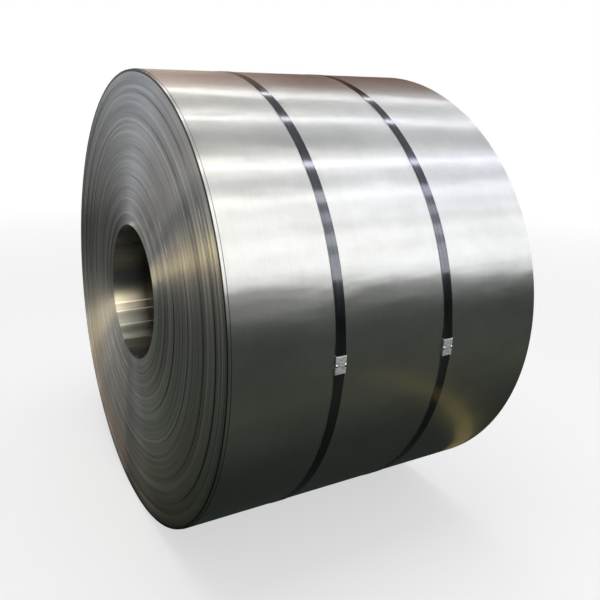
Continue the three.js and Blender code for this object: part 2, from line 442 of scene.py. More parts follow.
length_property = property_of(bpy.props.FloatProperty, unit="LENGTH")
angle_property = property_of(bpy.props.FloatProperty, unit="ROTATION", subtype="ANGLE")
share_property = property_of(bpy.props.FloatProperty, min=0.0, max=1.0, subtype="FACTOR")
colour_property = property_of(
    bpy.props.FloatVectorProperty, size=3, min=0.0, max=1.0, subtype="COLOR"
)


# ---- Shared mesh steps ----


def link_object(name, mesh):
    made = bpy.data.objects.new(name, mesh)
    bpy.context.scene.collection.objects.link(made)
    return made


def applied(rough, name):
    """The plain mesh of an object with its modifiers. The object itself is removed."""
    graph = bpy.context.evaluated_depsgraph_get()
    mesh = bpy.data.meshes.new_from_object(
        rough.evaluated_get(graph), preserve_all_data_layers=True, depsgraph=graph
    )
    bpy.data.objects.remove(rough)
    mesh.name = name
    return mesh


def geometry_tree(name, inputs):
    """A geometry tree with named numbers and their defaults. Returns it and its inputs."""
    tree = bpy.data.node_groups.new(name, "GeometryNodeTree")
    tree.interface.new_socket("Geometry", in_out="INPUT", socket_type="NodeSocketGeometry")
    for label, default in inputs.items():
        kind = "NodeSocketInt" if isinstance(default, int) else "NodeSocketFloat"
        socket = tree.interface.new_socket(label, in_out="INPUT", socket_type=kind)
        socket.default_value = default
    tree.interface.new_socket("Geometry", in_out="OUTPUT", socket_type="NodeSocketGeometry")
    return tree, tree.nodes.new("NodeGroupInput").outputs


def step(kind, geometry, inputs=None, **settings):
    """What a geometry node makes of the geometry or the curve that goes into its first input."""
    inputs = {0: geometry} | (inputs or {})
    return add(geometry.id_data, "GeometryNode" + kind, inputs, **settings).outputs[0]


def end_tree(tree, geometry):
    """Realizes the instances and gives the geometry to the tree's output."""
    add(tree, "NodeGroupOutput", {0: step("RealizeInstances", geometry)})


def grown(name, start, tree, values):
    """The plain mesh that a geometry tree makes from a start mesh, as an object at the origin."""
    seed = link_object(name + "_start", start)
    modifier = seed.modifiers.new("shape", "NODES")
    modifier.node_group = tree
    for item in tree.interface.items_tree:
        if item.in_out == "INPUT" and item.name in values:
            modifier[item.identifier] = values[item.name]
    mesh = applied(seed, name)
    if not mesh.polygons:
        raise RuntimeError(f"{name} came out empty")
    return link_object(name, mesh)


def shaded(geometry, smooth):
    """Smooth faces where asked, with sharp edges where the surface bends by over 17 degrees."""
    inputs = {"Selection": True, "Shade Smooth": smooth}
    faces = step("SetShadeSmooth", geometry, inputs)
    corner = geometry.id_data.nodes.new("GeometryNodeInputMeshEdgeAngle")
    bend = Number(corner.outputs["Unsigned Angle"])
    inputs = {"Selection": bend.above(0.3), "Shade Smooth": False}
    return step("SetShadeSmooth", faces, inputs, domain="EDGE")


def painted(geometry, material, chosen=True):
    """The geometry with a material on its chosen faces."""
    return step("SetMaterial", geometry, {"Selection": chosen, "Material": material})


@contextmanager
def edited(mesh):
    """A mesh as a bmesh, which is written back at the end."""
    work = bmesh.new()
    work.from_mesh(mesh)
    yield work
    work.to_mesh(mesh)
    work.free()


def outwards(mesh):
    """Turns a closed mesh's faces outwards if they point in."""
    with edited(mesh) as work:
        if work.calc_volume(signed=True) < 0:
            bmesh.ops.reverse_faces(work, faces=work.faces)
        open_edges = [edge for edge in work.edges if not edge.is_manifold]
    if open_edges:
        raise RuntimeError(f"{mesh.name} has {len(open_edges)} open edges")


def stand_for(piece, node):
    """A finished piece stands for its node, and rides on the one body."""
    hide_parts(node)
    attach(piece, "root")


# ---- The coil ----


# Multiples of this, without their whole part, set the groups of turns in by uneven amounts.
GOLDEN_RATIO = 0.618034
WRAP_ROUNDING = 0.3 * MM
# How far round the small face at the strip's head end leans, so that its corners stay apart.
HEAD_LEAN = math.radians(0.25)


def coil_tree(face, edges, inside):
    """The turned coil: a sheet of rings and columns, closed along its profile and round."""
    inputs = {
        "Columns": 236,
        "Turn Packs": 96,
        "Face Rings": 8,
        "Bore Radius": 0.254,
        "Outer Radius": 0.832,
        "Strip Thickness": 0.002,
        "Strip Width": 1.138,
        "Head End": 0.0,
        "Turn Groups": 15,
        "Land Group": 10,
        "Telescope": 0.003,
        "Wrap Inset": 0.011,
        "Wander": 0.0008,
        "Seed": 7,
    }
    tree, given = geometry_tree("turned_coil", inputs)
    get = {label: Number(given[label]) for label in inputs}
    columns, packs, thickness = get["Columns"], get["Turn Packs"], get["Strip Thickness"]
    last_ring = packs * 2 + 2
    ring_count = last_ring * 2 + 2 + get["Face Rings"]

    sizes = {"Size X": 1.0, "Size Y": 1.0, "Vertices X": columns + 2, "Vertices Y": ring_count + 1}
    grid = add(tree, "GeometryNodeMeshGrid", sizes)
    grid_x, grid_y, _ = split(grid.outputs["UV Map"])
    column = grid_x * (columns + 1)
    row = grid_y * ring_count
    whole_column = (column + 0.5).floor()
    ring_row = (row + 0.5).floor().wrapped(ring_count)

    # Round the axis, from the head end of the strip. The last column makes the small face there.
    last_column = whole_column.above(columns + 0.5)
    turn = (whole_column / columns).least(1.0) * last_column.flipped()
    full_swing = last_column * HEAD_LEAN + (math.tau - HEAD_LEAN)
    swing = (whole_column / columns * math.tau).least(full_swing)
    angle = swing + get["Head End"]
    sine, cosine = angle.math("SINE"), angle.math("COSINE")

    # Along the profile, the rings of the two ends are the same, in opposite order.
    end_ring = ring_row.least(ring_row * -1.0 + (ring_count - 1)).least(last_ring)
    pack = (end_ring / 2).floor()
    on_wrap = end_ring.above(packs * 2 - 0.5)
    on_rim = end_ring.above(packs * 2 + 1.5)
    pack_thickness = (get["Outer Radius"] - thickness - get["Bore Radius"]) / packs
    radius = get["Bore Radius"] + pack_thickness * ((end_ring + 1) / 2).floor()
    wrap_step = end_ring.above(packs * 2 + 0.5) * (thickness - WRAP_ROUNDING)
    wrap_step = wrap_step + on_rim * WRAP_ROUNDING
    wrap_radius = get["Outer Radius"] - thickness + wrap_step
    radius = radius * on_wrap.flipped() + wrap_radius * on_wrap
    radius = radius + end_ring.below(0.5) * turn * thickness

    # How far each pack of turns is set in at the near end.
    group = ((pack + 0.5) / packs * get["Turn Groups"]).floor()
    set_in = ((group - get["Land Group"]) * GOLDEN_RATIO).wrapped(1.0) * get["Telescope"]
    random = {2: -1.0, 3: 1.0, "ID": pack, "Seed": get["Seed"]}
    jitter = add(tree, "FunctionNodeRandomValue", random, data_type="FLOAT")
    jitter = Number(jitter.outputs[1])
    across_y, across_z = radius * sine, radius * cosine
    place = (radius, across_y, across_z)
    drift = pattern(place, (34.0, 0.5, 0.5)) - 0.5
    local = pattern(place, (75.0, 2.2, 2.2), detail=1.0) - 0.5
    wander = (jitter * 0.5 + drift * 2.6 + local * 1.2) * get["Wander"]
    set_in = (set_in + wander).most(0.0)
    set_in = set_in * on_wrap.flipped() + get["Wrap Inset"] * on_wrap

    # From the near end, at 0, to the far end, at 1.
    side = ((ring_row - last_ring) / (get["Face Rings"] + 1)).most(0.0).least(1.0)
    at_ends = side.below(0.01) + side.above(0.99)
    rounding = on_rim * (side * -2.0 + 1.0) * WRAP_ROUNDING * at_ends
    x = set_in + get["Strip Width"] * side + rounding + NEAR_PLANE
    placed = vector(tree, x, across_y * -1.0, across_z + AXIS_HEIGHT)
    shaped = step("SetPosition", grid.outputs["Mesh"], {"Position": placed})
    profile = vector(tree, row / ring_count, column / (columns + 1), 0.0)
    inputs = {"Name": "profile", "Value": profile}
    kind = {"data_type": "FLOAT2", "domain": "CORNER"}
    mapped = step("StoreNamedAttribute", shaped, inputs, **kind)

    on_bore = row.above(ring_count - 1)
    near_row = row.least(row * -1.0 + (ring_count - 1))
    on_foot = near_row.above(packs * 2 - 0.7) * near_row.below(packs * 2 - 0.3)
    on_face = (row.above(last_ring - 1) * row.below(ring_count - last_ring)).most(on_foot)
    finished = painted(shaded(mapped, on_face.most(on_bore)), edges)
    finished = painted(finished, face, on_face)
    finished = painted(finished, inside, on_bore)
    end_tree(tree, step("MergeByDistance", finished, {"Distance": WELD_DISTANCE}))
    return tree


class CoilSizes(bpy.types.PropertyGroup):
    """How the strip is wound."""

    bore: length_property("Bore", "Diameter of the bore", 0.508)
    thickness: length_property("Strip thickness", "Thickness of the strip", 0.002)
    width: length_property("Strip width", "Width of the strip", 1.138)
    head_end: angle_property("Head end", "Where the strip starts", math.radians(204.375))
    telescope: length_property("Telescope", "Most that a group of turns is set in", 0.003)
    wrap_inset: length_property("Last wrap inset", "How far the last wrap sits back", 0.011)
    wander: length_property("Wander", "Small unevenness from turn to turn", 0.0008)


class STEELCOIL_OT_coil(bpy.types.Operator):
    """Make the wound coil"""

    bl_idname = "steelcoil.coil"
    bl_label = "Coil"

    def execute(self, context):
        sizes, look = context.scene.coil_sizes, context.scene.coil_look
        face, edges = metal_finish(rolled_face, look), metal_finish(turn_edges, look)
        tree = coil_tree(face, edges, metal_finish(bore_face, look, sizes.head_end))
        values = {
            "Bore Radius": sizes.bore / 2,
            "Outer Radius": COIL_RADIUS,
            "Strip Thickness": sizes.thickness,
            "Strip Width": sizes.width,
            "Head End": sizes.head_end,
            "Telescope": sizes.telescope,
            "Wrap Inset": sizes.wrap_inset,
            "Wander": sizes.wander,
        }
        coil = grown("wound_strip", bpy.data.meshes.new("start"), tree, values)
        outwards(coil.data)
        stand_for(coil, "coil")
        return {"FINISHED"}


# ---- The straps ----


# Half the lapped run and half the flat run of a strap at its seal, and the heights over the last
# wrap of the middles of the lower and upper layers.
LAP_HALF, FLAT_HALF = 25 * MM, 29 * MM
LOWER_MIDDLE, UPPER_MIDDLE = 2.1 * MM, 3.4 * MM
NOMINAL_RADIUS = 0.832
STRAP_STEPS = 300


class StrapSizes(bpy.types.PropertyGroup):
    """The sizes of the strapping."""

    width: length_property("Strap width", "Width of a strap", 0.035)
    thickness: length_property("Strap thickness", "Thickness of a strap", 0.001)
    rounding: length_property("Edge rounding", "Rounding of a strap's edges", 0.0003)


def polar(angle, radius):
    """A point across the axis, at an angle from the top towards the front."""
    return Vector((0.0, -radius * math.sin(angle), AXIS_HEIGHT + radius * math.cos(angle)))


def by_seal(seal_angle, run, height):
    """A point near a seal: a run along the strap, and a height over the last wrap."""
    out = polar(seal_angle, NOMINAL_RADIUS + height)
    ahead = seal_angle + math.pi / 2
    return out + Vector((0.0, -math.sin(ahead), math.cos(ahead))) * run


def lift_angle(radius, middle):
    """How far round from the seal's middle a taut layer meets the coil."""
    height = NOMINAL_RADIUS + middle
    return math.atan2(FLAT_HALF, height) + math.acos(radius / math.hypot(FLAT_HALF, height))


def strap_path(seal_angle, radius):
    """The middle line of a taut strap: out of the seal, once round, and back over its start."""
    leave = lift_angle(radius, LOWER_MIDDLE)
    arrive = lift_angle(radius, UPPER_MIDDLE)
    points = [by_seal(seal_angle, run, LOWER_MIDDLE) for run in (-LAP_HALF, 0.0, FLAT_HALF)]
    for i in range(STRAP_STEPS + 1):
        turned = leave + (math.tau - leave - arrive) * i / STRAP_STEPS
        points.append(polar(seal_angle + turned, radius))
    points += [by_seal(seal_angle, run, UPPER_MIDDLE) for run in (-FLAT_HALF, 0.0, LAP_HALF)]
    return points


def strap_tree(flat, cut):
    """A flat band with rounded edges, drawn along a path across the axis."""
    inputs = {"Width": 0.035, "Thickness": 0.001, "Rounding": 0.0003, "Middle": 0.0}
    tree, get = geometry_tree("wound_strap", inputs)
    path = step("MeshToCurve", get["Geometry"])
    path = step("SetCurveNormal", path, {"Normal": (1.0, 0.0, 0.0)}, mode="FREE")
    inputs = {0: get["Width"], 1: get["Thickness"]}
    section = add(tree, "GeometryNodeCurvePrimitiveQuadrilateral", inputs).outputs[0]
    inputs = {"Radius": get["Rounding"], "Count": 2}
    section = step("FilletCurve", section, inputs, mode="POLY")
    inputs = {"Profile Curve": section, "Fill Caps": True}
    band = step("CurveToMesh", path, inputs)
    inputs = {"Offset": vector(tree, get["Middle"], 0.0, 0.0)}
    band = step("SetPosition", band, inputs)
    finished = painted(shaded(band, True), flat)
    facing, _, _ = split(tree.nodes.new("GeometryNodeInputNormal").outputs[0])
    end_tree(tree, painted(finished, cut, facing.unsigned().above(0.5)))
    return tree


class STEELCOIL_OT_straps(bpy.types.Operator):
    """Make the two straps"""

    bl_idname = "steelcoil.straps"
    bl_label = "Straps"

    def execute(self, context):
        sizes, look = context.scene.strap_sizes, context.scene.coil_look
        tree = strap_tree(metal_finish(waxed_strap, look), metal_finish(cut_edge, look))
        for node, seal_angle in SEAL_ANGLES.items():
            low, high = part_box(node)
            radius = (high.z - low.z) / 2 - sizes.thickness / 2
            points = strap_path(seal_angle, radius)
            path = bpy.data.meshes.new(node + "_path")
            path.from_pydata(points, [(i, i + 1) for i in range(len(points) - 1)], [])
            values = {
                "Width": sizes.width,
                "Thickness": sizes.thickness,
                "Rounding": sizes.rounding,
                "Middle": (low.x + high.x) / 2,
            }
            strap = grown(node + "_band", path, tree, values)
            with edited(strap.data) as work:
                bmesh.ops.remove_doubles(work, verts=work.verts, dist=WELD_DISTANCE)
                bmesh.ops.recalc_face_normals(work, faces=work.faces)
            outwards(strap.data)
            stand_for(strap, node)
        return {"FINISHED"}


# ---- The seals ----


SEAL_ROUNDING = 0.3 * MM
SHEET_FACE, TAB_FACE, SIDE_FACE = range(3)


def rounded_edges(mesh):
    """The same mesh with its sharp edges rounded."""
    rough = link_object(mesh.name + "_rough", mesh)
    bevel = rough.modifiers.new("edges", "BEVEL")
    bevel.width = SEAL_ROUNDING
    bevel.segments = 2
    bevel.limit_method = "ANGLE"
    bevel.angle_limit = math.radians(35)
    return applied(rough, mesh.name)


def seal_finish(normal):
    """Which finish a face of a seal takes: a tab leans out, and a side faces along the axis."""
    across, out, up = normal
    if out < -0.6 and 0.3 < abs(up) < 0.8:
        return TAB_FACE
    return SIDE_FACE if abs(across) > 0.5 else SHEET_FACE


def finish_seal(mesh, node):
    """Gives a seal its map, and its tabs and sides their finishes."""
    low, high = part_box(node)
    layer = mesh.uv_layers.new(name="profile")
    for face in mesh.polygons:
        face.material_index = seal_finish(face.normal)
        for loop in face.loop_indices:
            point = mesh.vertices[mesh.loops[loop].vertex_index].co
            along = (point.x - low.x) / (high.x - low.x)
            layer.data[loop].uv = (along, (point.z - low.z) / (high.z - low.z))


class STEELCOIL_OT_seals(bpy.types.Operator):
    """Make the two crimped seals"""

    bl_idname = "steelcoil.seals"
    bl_label = "Seals"

    def execute(self, context):
        look = context.scene.coil_look
        kinds = (galvanised_seal, pressed_tab, seal_side_shade)
        finishes = [metal_finish(kind, look) for kind in kinds]
        for node in SEAL_NODES:
            work = bmesh.new()
            work.from_mesh(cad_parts[node].data)
            bmesh.ops.remove_doubles(work, verts=work.verts, dist=WELD_DISTANCE)
            flat = math.radians(1)
            bmesh.ops.dissolve_limit(work, angle_limit=flat, verts=work.verts, edges=work.edges)
            mesh = bpy.data.meshes.new(node + "_sleeve")
            work.to_mesh(mesh)
            work.free()
            mesh.materials.clear()
            for finish in finishes:
                mesh.materials.append(finish)
            seal = link_object(node + "_sleeve", rounded_edges(mesh))
            outwards(seal.data)
            finish_seal(seal.data, node)
            stand_for(seal, node)
        return {"FINISHED"}


# ---- Looks ----


class CoilLook(bpy.types.PropertyGroup):
    """Colours and gloss of the finishes."""

    strip_dark: colour_property("Strip dark", "Darker tone of the face", (0.475, 0.485, 0.465))
    strip_middle: colour_property("Strip middle", "Middle tone of the face", (0.585, 0.595, 0.575))
    strip_light: colour_property("Strip light", "Lighter tone of the face", (0.70, 0.705, 0.685))
    face_roughness: share_property("Face roughness", "Roughness of the strip's face", 0.29)
    face_stretch: share_property("Face stretch", "Stretch of highlights across the strip", 0.45)
    bore_dark: colour_property("Bore dark", "Darker tone inside the bore", (0.41, 0.415, 0.40))
    bore_light: colour_property("Bore light", "Lighter tone inside the bore", (0.49, 0.495, 0.48))
    # A painted highlight colour for the bright lines along the bore.
    bore_painted_highlight: colour_property("Mandrel line", "Polished lines in the bore", (0.85, 0.84, 0.80))
    edge_dark: colour_property("Edge dark", "Darker tone of the turn edges", (0.225, 0.23, 0.235))
    edge_middle: colour_property("Edge middle", "Middle tone of the edges", (0.45, 0.455, 0.46))
    edge_light: colour_property("Edge light", "Lighter tone of the edges", (0.72, 0.72, 0.72))
    # A painted highlight colour for the brightest turn crests.
    edge_painted_highlight: colour_property("Edge bright", "Turns that were rubbed", (0.88, 0.88, 0.87))
    edge_roughness: share_property("Edge roughness", "Roughness of the turn edges", 0.33)
    edge_stretch: share_property("Edge stretch", "Stretch of highlights across the turns", 0.98)
    rust: colour_property("Rust", "Thin rust on the turn edges", (0.56, 0.40, 0.28))
    # A painted shade colour for the deep and low bore, the head-end step, the corner under the
    # last wrap, the steps between groups of turns and the seal sides.
    painted_shade: colour_property("Grime", "Oil and dust in corners", (0.05, 0.048, 0.045))
    strap_dark: colour_property("Strap dark", "Darker tone of the straps", (0.10, 0.106, 0.117))
    strap_light: colour_property("Strap light", "Lighter tone of the straps", (0.19, 0.20, 0.22))
    cut_dark: colour_property("Cut edge dark", "Darker tone of cut edges", (0.50, 0.50, 0.50))
    cut_light: colour_property("Cut edge light", "Lighter tone of cut edges", (0.75, 0.75, 0.74))
    seal_dark: colour_property("Seal dark", "Darker tone of the seals", (0.16, 0.18, 0.17))
    seal_light: colour_property("Seal light", "Lighter tone of the seals", (0.64, 0.67, 0.66))
    # Painted highlight colour on the seals' upper edges, and the burnished colour of the tabs.
    seal_highlight_and_burnish: colour_property("Seal bright", "Worn edges and tabs", (0.92, 0.93, 0.92))


# ---- The studio ----


class StudioSettings(bpy.types.PropertyGroup):
    """The floor and the light on it."""

    floor: colour_property("Floor", "Colour of the floor", (0.88, 0.88, 0.88))
    ambient: share_property("Ambient", "Level of the sky on the floor", 0.6)


WHITE = (1.0, 1.0, 1.0)
FLOOR_RADIUS = 60.0


def path_share(tree):
    """1 for camera, glossy and transmission rays, so that mirrors show what the camera sees."""
    path = tree.nodes.new("ShaderNodeLightPath")
    rays = ("Is Camera Ray", "Is Glossy Ray", "Is Transmission Ray")
    camera, glossy, through = (Number(path.outputs[ray]) for ray in rays)
    return camera.most(glossy).most(through)


def make_world(settings):
    world = bpy.data.worlds.new("studio")
    bpy.context.scene.world = world
    world.use_nodes = True
    tree = world.node_tree
    tree.nodes.clear()
    strength = spread(path_share(tree), 0.0, 1.0, settings.ambient, 1.0)
    background = add(tree, "ShaderNodeBackground", {"Color": WHITE, "Strength": strength})
    add(tree, "ShaderNodeOutputWorld", {"Surface": background.outputs[0]})


def make_floor(settings):
    """A plain floor that turns white towards the horizon."""
    mesh = bpy.data.meshes.new("floor")
    with edited(mesh) as work:
        bmesh.ops.create_circle(work, cap_ends=True, segments=96, radius=FLOOR_RADIUS)
    material, tree, shader = new_material("pale_floor")
    inputs = {"Base Color": settings.floor, "Roughness": 0.9, "Specular IOR Level": 0.1}
    fill_all(shader, inputs)
    glow = add(tree, "ShaderNodeEmission", {"Color": WHITE, "Strength": 1.0})
    x, y, _ = object_place(tree)
    white = spread(far_from(x, y), 2.5, 8.0, 0.6, 1.0)
    mixed_surface(path_share(tree) * white, shader, glow)
    mesh.materials.append(material)
    link_object("floor", mesh)


def glowing(name, colour_of, *values):
    """An unlit material whose colour is made by a function of the tree."""
    material, tree, glow = new_material(name, "ShaderNodeEmission")
    fill(glow.inputs["Color"], colour_of(tree, *values))
    return material


def plain(tree, colour):
    return colour


def rising(tree, low, high, stops):
    """A colour that follows the height over the floor."""
    _, _, z = object_place(tree)
    return ramp(spread(z + AXIS_HEIGHT, low, high), stops)


def ring_place(x, degrees, radius):
    """A point round the axis, at an angle from the front horizon upwards."""
    angle = math.radians(degrees)
    return (x, -radius * math.cos(angle), AXIS_HEIGHT + radius * math.sin(angle))


def arc_corners(left, right, low, high, radius):
    """The corners of a card along the coil, between two angles."""
    places = ((left, low), (right, low), (right, high), (left, high))
    return [ring_place(x, degrees, radius) for x, degrees in places]


def only_reflected(name, mesh, material):
    """Puts up a mesh that only mirrors see: it is hidden from the camera and lights nothing."""
    mesh.materials.append(material)
    card = link_object(name, mesh)
    card.visible_camera = False
    card.visible_diffuse = False
    card.visible_shadow = False
    card.visible_volume_scatter = False


def make_card(name, corners, material):
    """A flat card from its corners, seen only in reflections."""
    mesh = bpy.data.meshes.new(name)
    mesh.from_pydata(corners, [], [tuple(range(len(corners)))])
    only_reflected(name, mesh, material)


# The walls run round the coil from WALL_START degrees under the front horizon, and end far off to
# the left and right.
SURROUND_RADIUS = 7.0
SURROUND_HALF = 12.0
WALL_START, WALL_SPAN, WALL_STEPS = 60.0, 300.0, 100

# Angle from the front horizon upwards, and colour.
WALL_STOPS = (
    (-60.0, (0.027, 0.032, 0.028)), (-20.0, (0.055, 0.063, 0.056)),
    (-4.0, (0.061, 0.068, 0.062)), (2.0, (0.112, 0.116, 0.108)),
    (9.0, (0.325, 0.33, 0.315)), (21.0, (0.42, 0.415, 0.405)),
    (23.0, (1.2, 1.19, 1.17)), (27.0, (1.2, 1.19, 1.17)),
    (32.0, (0.95, 0.94, 0.93)), (44.0, (0.88, 0.88, 0.88)),
    (52.0, (0.8, 0.8, 0.81)), (54.0, (0.46, 0.465, 0.475)),
    (66.0, (0.46, 0.465, 0.475)), (76.0, (0.40, 0.405, 0.41)),
    (92.0, (0.375, 0.38, 0.385)), (97.0, (0.33, 0.335, 0.34)),
    (110.0, (0.33, 0.33, 0.33)), (124.0, (0.42, 0.35, 0.32)),
    (130.0, (0.54, 0.40, 0.335)), (143.0, (0.465, 0.32, 0.262)),
    (152.0, (0.50, 0.42, 0.345)), (163.0, (0.54, 0.51, 0.44)),
    (172.0, (0.30, 0.29, 0.26)), (184.0, (0.05, 0.05, 0.045)),
)

END_WALL_STOPS = (
    (0.0, (0.13, 0.13, 0.12)),
    (0.45, (0.15, 0.15, 0.15)),
    (0.8, (0.42, 0.5, 0.6)),
    (1.0, (0.6, 0.7, 0.82)),
)


def wall_colour(tree):
    x, y, z = object_place(tree)
    degrees = (z.degrees_from(y * -1.0) + WALL_START).wrapped(360.0)
    stops = [((place + WALL_START) / WALL_SPAN, colour) for place, colour in WALL_STOPS]
    colour = ramp(degrees / WALL_SPAN, stops)
    far_top = spread(degrees, 174.0, 184.0) * spread(x, 2.2, 4.4, 0.0, 0.95)
    back_left = spread(degrees, 190.0, 200.0) * spread(x, 0.0, -2.0, 0.0, 0.65)
    colour = blend(far_top, colour, (0.15, 0.08, 0.058))
    return blend(back_left, colour, (0.0, 0.0, 0.0))


def make_walls():
    """Dim walls over and beside the coil."""
    points = []
    for i in range(WALL_STEPS + 1):
        degrees = WALL_SPAN * i / WALL_STEPS - WALL_START
        points += [ring_place(side * SURROUND_HALF, degrees, SURROUND_RADIUS) for side in (-1, 1)]
    firsts = range(0, 2 * WALL_STEPS, 2)
    mesh = bpy.data.meshes.new("surround")
    mesh.from_pydata(points, [], [(i, i + 1, i + 3, i + 2) for i in firsts])
    only_reflected("surround", mesh, glowing("surround_glow", wall_colour))

    glow = glowing("end_wall_glow", rising, 0.0, 8.0, END_WALL_STOPS)
    reach = SURROUND_RADIUS
    outline = ((-reach, 0.0), (reach, 0.0), (reach, 2 * reach), (-reach, 2 * reach))
    for side in (-1, 1):
        x = side * (SURROUND_HALF - 0.01)
        make_card(f"end_wall_{side + 1}", [(x, y, z) for y, z in outline], glow)


# Long soft strip lights, not quite in line with the coil: the angles of their edges at the left
# and right ends, their strength, how much they cool from left to right, and where they start.
STRIP_LIGHTS = (
    ((18.0, -1.5), (22.0, 22.0), 1.85, 0.3, -1.0),
    ((26.3, 26.3), (31.7, 31.7), 2.1, 0.4, -11.5),
    ((37.3, 37.3), (42.2, 42.2), 1.85, 0.7, -11.5),
    ((47.3, 47.3), (53.2, 53.2), 2.7, 0.85, -11.5),
    ((73.6, 63.0), (76.6, 66.0), 6.2, 1.0, -11.5),
    ((111.1, 88.1), (113.9, 90.9), 6.5, 0.6, -11.5),
    ((145.0, 103.8), (147.8, 106.0), 6.1, 0.5, -11.5),
)
STRIP_END = 11.5
WARMER, COOLER = (0.07, 0.02, -0.06), (-0.07, -0.06, 0.09)

# Thin lamps that only the turns of the near end catch: their middles, in degrees.
THIN_LAMPS = (33.5, 48.5, 78.5)
THIN_LAMP_LEFT, THIN_LAMP_RIGHT = -6.0, -0.78
THIN_LAMP_COLOUR = (24.0, 23.0, 20.0)


def strip_colour(tree, strength, tint):
    x, _, _ = object_place(tree)
    left, right = (
        tuple(strength * (1.0 + tint * part) for part in shift) for shift in (WARMER, COOLER)
    )
    return ramp(spread(x, 1.5, 6.0), [(0.0, left), (1.0, right)])


def make_strip_lights():
    """The strip lights just inside the walls."""
    radius = SURROUND_RADIUS - 0.1
    for i, (lows, highs, strength, tint, start) in enumerate(STRIP_LIGHTS):
        places = ((start, lows[0]), (STRIP_END, lows[1]), (STRIP_END, highs[1]), (start, highs[0]))
        corners = [ring_place(x, degrees, radius) for x, degrees in places]
        glow = glowing(f"strip_light_{i}_glow", strip_colour, strength, tint)
        make_card(f"strip_light_{i}", corners, glow)


def make_thin_lamps():
    glow = glowing("thin_lamp_glow", plain, THIN_LAMP_COLOUR)
    for i, middle in enumerate(THIN_LAMPS):
        low, high = middle - 0.5, middle + 0.5
        corners = arc_corners(THIN_LAMP_LEFT, THIN_LAMP_RIGHT, low, high, SURROUND_RADIUS - 0.2)
        make_card(f"thin_lamp_{i}", corners, glow)


# The warm lights low on the left: corners, and colour upwards.
WARM_LIGHTS = {
    "warm_light": (
        ((-11.8, 0.0, 2.65), (-11.8, 5.0, 0.02), (-11.8, 5.55, 0.15), (-11.8, 0.0, 3.28)),
        ((0.0, (15.6, 11.9, 5.1)), (1.0, (15.6, 11.9, 5.1))),
    ),
    "warm_light_upper": (
        ((-11.81, 0.0, 3.35), (-11.81, 5.4, 0.4), (-11.81, 5.4, 1.7), (-11.81, 0.0, 4.6)),
        ((0.0, (2.5, 2.0, 1.2)), (0.5, (1.6, 1.33, 0.9)), (1.0, (0.65, 0.58, 0.5))),
    ),
}


def warm_colour(tree, stops):
    """Warm at the back, and as dim as the wall towards the front."""
    _, y, _ = object_place(tree)
    dim = spread(y, 0.0, 2.0, 1.0, 0.0)
    return blend(dim, rising(tree, 0.4, 4.8, stops), (0.14, 0.14, 0.135))


def make_warm_lights():
    for name, (corners, stops) in WARM_LIGHTS.items():
        make_card(name, corners, glowing(name + "_glow", warm_colour, stops))


# The ring of light at the mouth of the bore: a row of short arcs. Share of the way round, and
# colour.
GLOW_STOPS = (
    (0.0, (0.8, 1.1, 1.25)), (0.16, (2.2, 2.2, 2.1)),
    (0.21, (7.0, 6.1, 4.4)), (0.29, (54.0, 45.5, 28.5)),
    (0.42, (50.0, 42.5, 27.0)), (0.51, (26.0, 23.0, 17.5)),
    (0.66, (12.5, 11.3, 9.2)), (0.75, (4.8, 4.4, 3.7)),
    (1.0, (1.3, 1.2, 1.05)),
)
GLOW_START, GLOW_STEP, GLOW_ARCS = -30.0, 5.0, 39
GLOW_LEFT, GLOW_RIGHT, GLOW_RADIUS = -0.5935, -0.5735, 0.2525


def make_bore_glow():
    """The ring stands just outside the bore, and shines inwards and across it."""
    material, tree, glow = new_material("bore_glow", "ShaderNodeEmission")
    _, y, z = object_place(tree)
    end = GLOW_START + GLOW_STEP * GLOW_ARCS
    round_share = spread(z.degrees_from(y * -1.0), GLOW_START, end)
    fill(glow.inputs["Color"], ramp(round_share, GLOW_STOPS))
    behind = Number(tree.nodes.new("ShaderNodeNewGeometry").outputs["Backfacing"])
    length = Number(tree.nodes.new("ShaderNodeLightPath").outputs["Ray Length"])
    unlit = behind.most(spread(length, 0.11, 0.13, 1.0, 0.0))
    mixed_surface(unlit, glow, tree.nodes.new("ShaderNodeBsdfTransparent"))
    for i in range(GLOW_ARCS):
        low = GLOW_START + GLOW_STEP * i
        high = low + GLOW_STEP
        corners = arc_corners(GLOW_LEFT, GLOW_RIGHT, low, high, GLOW_RADIUS)
        make_card(f"bore_glow_{i}", corners[::-1], material)


# The light behind the coil: grey by the share of the way from left to right, times colour by the
# share of its height.
BACK_LEFT, BACK_RIGHT, BACK_HEIGHT = -4.6, 1.2, 5.6
BACK_LOWER = [(BACK_LEFT, 6.6, 0.1), (BACK_RIGHT, 6.6, 0.1)]
BACK_UPPER = [(BACK_RIGHT, 4.9, BACK_HEIGHT), (BACK_LEFT, 4.9, BACK_HEIGHT)]
BACK_GREYS = (
    (0.0, 0.25), (0.1, 0.5), (0.2, 1.0), (0.28, 1.4), (0.34, 1.25),
    (0.38, 0.7), (0.42, 0.38), (0.48, 0.22), (0.6, 0.17), (1.0, 0.16),
)
BACK_HEIGHTS = (
    (0.0, (0.72, 0.71, 0.68)), (0.08, (0.66, 0.66, 0.64)),
    (0.16, (0.65, 0.66, 0.67)), (0.25, (0.69, 0.715, 0.755)),
    (0.34, (0.775, 0.81, 0.85)), (0.42, (0.595, 0.625, 0.67)),
    (0.6, (0.395, 0.42, 0.46)), (1.0, (0.31, 0.34, 0.38)),
)


def back_colour(tree):
    x, _, _ = object_place(tree)
    stops = [(place, (grey,) * 3) for place, grey in BACK_GREYS]
    across = ramp(spread(x, BACK_LEFT, BACK_RIGHT), stops)
    upwards = rising(tree, 0.0, BACK_HEIGHT, BACK_HEIGHTS)
    return blend(1.0, across, upwards, "MULTIPLY")


